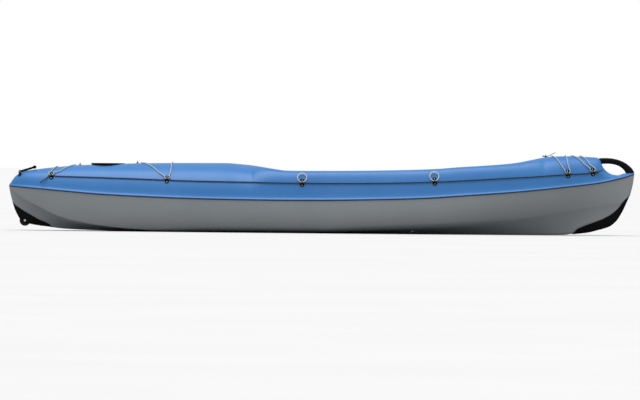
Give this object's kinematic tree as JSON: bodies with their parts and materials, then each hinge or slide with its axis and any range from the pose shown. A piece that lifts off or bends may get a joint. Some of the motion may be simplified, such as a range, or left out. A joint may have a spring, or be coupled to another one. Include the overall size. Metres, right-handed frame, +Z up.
{
  "type": "sit-on-top kayak",
  "caption": "Rigid two-shell sit-on-top touring kayak with keel bumpers, stern wheel, deck lines, hatches, folding back rest and sliding foot rests.",
  "frame": {"origin": "centre of the boat's length and width, at the underside of the keel", "axes": "+X towards the bow, +Y to port, +Z up"},
  "size_m": [4.24, 0.666, 0.5644],
  "materials": {
    "hull_grey": "satin",
    "deck_blue": "satin",
    "black_plastic": "satin",
    "black_rubber": "matte",
    "tyre": "matte",
    "steel": "satin",
    "line_black": "matte",
    "cord_pale": "matte",
    "cushion": "matte",
    "lever_red": "gloss",
    "foam": "matte"
  },
  "bodies": {
    "boat": {"hull_shell": "hull_grey", "deck_shell": "deck_blue", "bow_bumper": "black_rubber", "stern_bumper": "black_rubber", "bumper_screws": "steel", "wheel_axle": "steel", "bow_handle": "black_plastic", "stern_handle_lugs": "black_plastic", "stern_handle_pins": "steel", "deck_line_port": "line_black", "deck_line_starboard": "line_black", "pad_eyes_port": "black_plastic", "pad_eyes_starboard": "black_plastic", "pad_eye_screws": "steel", "stern_bungee": "cord_pale", "rear_bungee": "cord_pale", "bow_bungee": "cord_pale", "ridge_hooks": "black_plastic", "cord_tail": "cord_pale", "stern_hatch_rim": "black_plastic", "stern_hatch_seal": "black_rubber", "day_hatch_rim": "black_plastic", "day_hatch_seal": "black_rubber", "drain_socket": "black_plastic", "drain_washer": "black_rubber", "scupper_tubes": "deck_blue", "backrest_brackets": "black_plastic", "backrest_rod": "steel", "seat_pad": "cushion", "footrest_rail_port": "black_plastic", "footrest_rail_starboard": "black_plastic", "footrest_screws": "steel", "stern_foam": "foam", "bow_foam": "foam"},
    "trolley_wheel": {"stern_wheel": "tyre"},
    "carry_handle": {"stern_handle": "black_rubber"},
    "seat_loop_port": {"loop_seat_port": "cord_pale"},
    "seat_loop_starboard": {"loop_seat_starboard": "cord_pale"},
    "knee_loop_port": {"loop_knee_port": "cord_pale"},
    "knee_loop_starboard": {"loop_knee_starboard": "cord_pale"},
    "stern_hatch": {"stern_hatch_cover": "black_plastic"},
    "day_hatch": {"day_hatch_cover": "black_plastic"},
    "drain": {"drain_plug": "black_plastic"},
    "backrest": {"backrest_panel": "black_plastic", "backrest_cushion": "cushion"},
    "pedal_port": {"foot_pedal_port": "black_plastic", "pedal_pin_port": "steel"},
    "pedal_starboard": {"foot_pedal_starboard": "black_plastic", "pedal_pin_starboard": "steel"},
    "lever_port": {"pedal_lever_port": "lever_red"},
    "lever_starboard": {"pedal_lever_starboard": "lever_red"}
  },
  "joints": [
    {"name": "wheel_spin", "type": "hinge", "parent": "boat", "child": "trolley_wheel", "pos_m": [-2.01, 0, 0.067], "axis": [0, 1, 0], "continuous": true},
    {"name": "handle_swing", "type": "hinge", "parent": "boat", "child": "carry_handle", "pos_m": [-2.046, 0, 0.39787], "axis": [0, -1, 0], "range_deg": [0, 140]},
    {"name": "seat_loop_port_swing", "type": "hinge", "parent": "boat", "child": "seat_loop_port", "pos_m": [-0.13206, 0.31498, 0.3468], "axis": [-0.9999, -0.0133, 0.0043], "range_deg": [0, 90]},
    {"name": "seat_loop_starboard_swing", "type": "hinge", "parent": "boat", "child": "seat_loop_starboard", "pos_m": [-0.13206, -0.31498, 0.3468], "axis": [0.9999, -0.0133, -0.0043], "range_deg": [0, 90]},
    {"name": "knee_loop_port_swing", "type": "hinge", "parent": "boat", "child": "knee_loop_port", "pos_m": [0.76313, 0.28831, 0.3638], "axis": [-0.9934, 0.0847, -0.0767], "range_deg": [0, 90]},
    {"name": "knee_loop_starboard_swing", "type": "hinge", "parent": "boat", "child": "knee_loop_starboard", "pos_m": [0.76313, -0.28831, 0.3638], "axis": [0.9934, 0.0847, 0.0767], "range_deg": [0, 90]},
    {"name": "stern_hatch_lift", "type": "slide", "parent": "boat", "child": "stern_hatch", "axis": [0, 0, 1], "range_m": [0, 0.12]},
    {"name": "day_hatch_lift", "type": "slide", "parent": "boat", "child": "day_hatch", "axis": [0, 0, 1], "range_m": [0, 0.12]},
    {"name": "drain_plug_pull", "type": "slide", "parent": "boat", "child": "drain", "axis": [-0.1887, 0.4435, 0.8762], "range_m": [0, 0.035]},
    {"name": "backrest_fold", "type": "hinge", "parent": "boat", "child": "backrest", "pos_m": [-0.236, 0, 0.2], "axis": [0, 1, 0], "range_deg": [0, 65]},
    {"name": "pedal_port_slide", "type": "slide", "parent": "boat", "child": "pedal_port", "axis": [0.9975, -0.0714, 0], "range_m": [-0.135, 0.135]},
    {"name": "pedal_starboard_slide", "type": "slide", "parent": "boat", "child": "pedal_starboard", "axis": [0.9975, 0.0714, 0], "range_m": [-0.135, 0.135]},
    {"name": "lever_port_lift", "type": "hinge", "parent": "pedal_port", "child": "lever_port", "pos_m": [0.674, 0.18796, 0.2394], "axis": [0.0714, 0.9975, 0], "range_deg": [0, 20]},
    {"name": "lever_starboard_lift", "type": "hinge", "parent": "pedal_starboard", "child": "lever_starboard", "pos_m": [0.674, -0.18796, 0.2394], "axis": [-0.0714, 0.9975, 0], "range_deg": [0, 20]}
  ]
}
